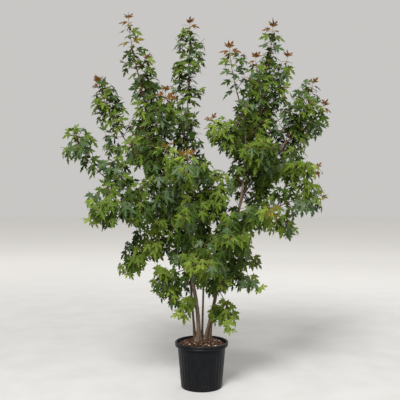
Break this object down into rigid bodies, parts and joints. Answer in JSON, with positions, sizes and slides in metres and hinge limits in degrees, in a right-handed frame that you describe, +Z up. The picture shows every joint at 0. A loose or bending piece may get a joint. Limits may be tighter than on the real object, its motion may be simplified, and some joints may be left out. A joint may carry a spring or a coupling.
{
  "type": "potted amur maple",
  "caption": "Multi-stemmed amur maple with an open, upright crown of lobed leaves, growing in a round black nursery pot.",
  "frame": {"origin": "centre of the pot's underside, on the ground", "axes": "+Z up along the pot's axis, -Y towards the viewer of the picture, +X to the viewer's right"},
  "size_m": [1.8275, 1.1485, 2.4874],
  "materials": {
    "pot": "moulded black plastic with a slight sheen",
    "soil": "loose bark potting mix",
    "bark": "grey-brown young bark",
    "foliage": "green leaves, bronze at the shoot tips"
  },
  "bodies": {
    "root": {"pot": "pot", "soil": "soil", "stem_left": "bark", "stem_main": "bark", "stem_centre": "bark", "stem_right_inner": "bark", "stem_right": "bark", "bough_far_left": "bark", "bough_left": "bark", "bough_pendant_left": "bark", "bough_right": "bark", "bough_low_right": "bark", "bough_back_left": "bark", "bough_back_right": "bark", "bough_back": "bark", "foliage_crown_left_top": "foliage", "foliage_crown_left_side": "foliage", "foliage_crown_left_fork": "foliage", "foliage_mid_left_front": "foliage", "foliage_mid_left_inner": "foliage", "foliage_mid_left_heart": "foliage", "foliage_low_left_outer": "foliage", "foliage_low_left_skirt": "foliage", "foliage_left_high_tip": "foliage", "foliage_left_high_low": "foliage", "foliage_far_left_tip": "foliage", "foliage_far_left_up": "foliage", "foliage_pendant_left_tip": "foliage", "foliage_pendant_left_mid": "foliage", "foliage_left_inner_low": "foliage", "foliage_low_left_back": "foliage", "foliage_low_left_hang": "foliage", "foliage_centre_top": "foliage", "foliage_centre_high": "foliage", "foliage_front_leader": "foliage", "foliage_front_hang": "foliage", "foliage_front_low": "foliage", "foliage_front_skirt": "foliage", "foliage_centre_inner": "foliage", "foliage_right_inner_leader": "foliage", "foliage_right_inner_side": "foliage", "foliage_front_right_tip": "foliage", "foliage_front_right_low": "foliage", "foliage_low_right_hang": "foliage", "foliage_right_top": "foliage", "foliage_right_top_left": "foliage", "foliage_right_top_right": "foliage", "foliage_right_core": "foliage", "foliage_right_front": "foliage", "foliage_low_right_small": "foliage", "foliage_low_right_skirt": "foliage", "foliage_far_right_top": "foliage", "foliage_far_right_side": "foliage", "foliage_far_right_low": "foliage", "foliage_mid_right_tip": "foliage", "foliage_low_right_tip": "foliage", "foliage_low_right_under": "foliage", "foliage_back_left_tip": "foliage", "foliage_back_right_tip": "foliage", "foliage_back_tip": "foliage"}
  },
  "joints": []
}
